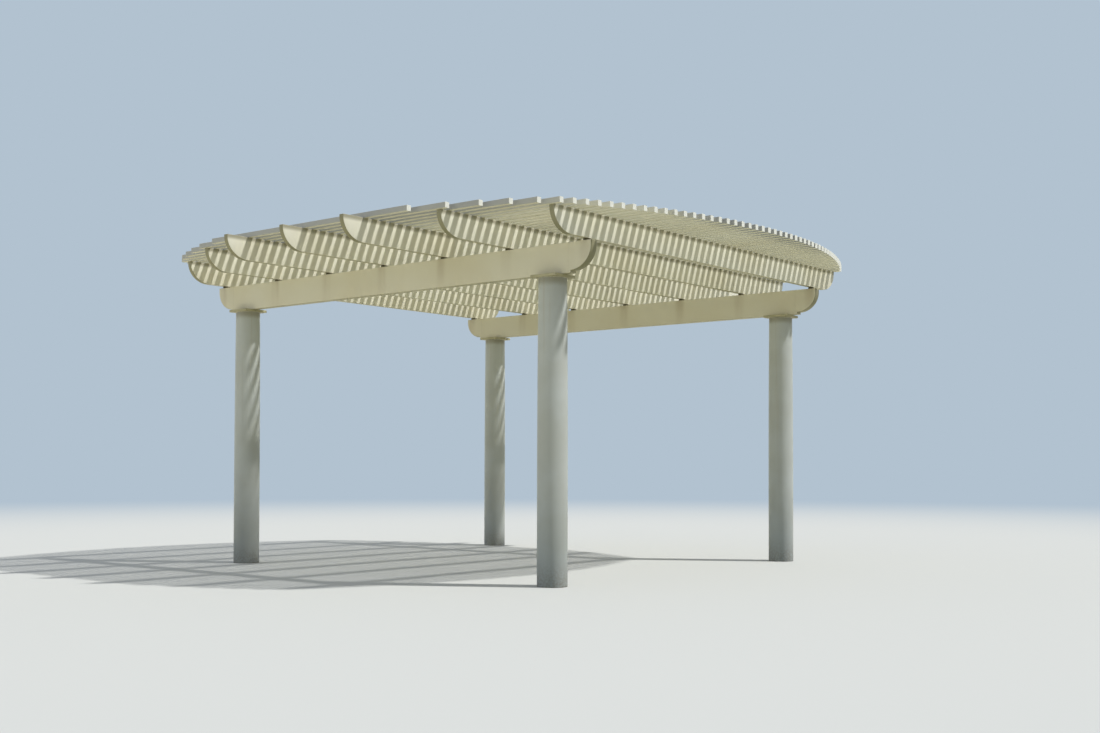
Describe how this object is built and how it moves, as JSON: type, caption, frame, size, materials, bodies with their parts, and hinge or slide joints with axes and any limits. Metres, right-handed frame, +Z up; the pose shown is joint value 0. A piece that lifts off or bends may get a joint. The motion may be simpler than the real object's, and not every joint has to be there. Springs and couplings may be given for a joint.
{
  "type": "garden pergola",
  "caption": "Free-standing open pergola: tapered round columns carry two beams, rafters with round-nosed tails and a flat slatted shade roof with bowed sides.",
  "frame": {"origin": "on the ground, midway between the four columns", "axes": "+X along the rafters to the right, +Y along the beams to the back, +Z up"},
  "size_m": [5.906, 5.7896, 2.94],
  "materials": {
    "column_shell": "moulded fibreglass shell, painted satin white, with light run-off streaks and a soiled foot",
    "cap_plate_vinyl": "satin white vinyl plate, dirt along its seam with the beam",
    "beam_vinyl": "satin white vinyl with faint drip marks below the rafters",
    "rafter_vinyl": "satin white vinyl, slightly weathered along the top edge",
    "packer_plastic": "dark matt packer between rafter and beam, dirty",
    "slat_vinyl": "satin white vinyl square tube"
  },
  "bodies": {
    "root": {"column_front_left": "column_shell", "cap_plate_front_left": "cap_plate_vinyl", "column_front_right": "column_shell", "cap_plate_front_right": "cap_plate_vinyl", "column_back_left": "column_shell", "cap_plate_back_left": "cap_plate_vinyl", "column_back_right": "column_shell", "cap_plate_back_right": "cap_plate_vinyl", "beam_left": "beam_vinyl", "beam_right": "beam_vinyl", "rafter_front": "rafter_vinyl", "rafter_front_medium": "rafter_vinyl", "rafter_front_long": "rafter_vinyl", "rafter_middle": "rafter_vinyl", "rafter_back_long": "rafter_vinyl", "rafter_back_medium": "rafter_vinyl", "rafter_back": "rafter_vinyl", "rafter_packers_left": "packer_plastic", "rafter_packers_right": "packer_plastic", "slats_left_1": "slat_vinyl", "slats_left_2": "slat_vinyl", "slats_left_3": "slat_vinyl", "slats_left_4": "slat_vinyl", "slats_left_5": "slat_vinyl", "slats_left_6": "slat_vinyl", "slats_right_1": "slat_vinyl", "slats_right_2": "slat_vinyl", "slats_right_3": "slat_vinyl", "slats_right_4": "slat_vinyl", "slats_right_5": "slat_vinyl", "slats_right_6": "slat_vinyl"}
  },
  "joints": []
}
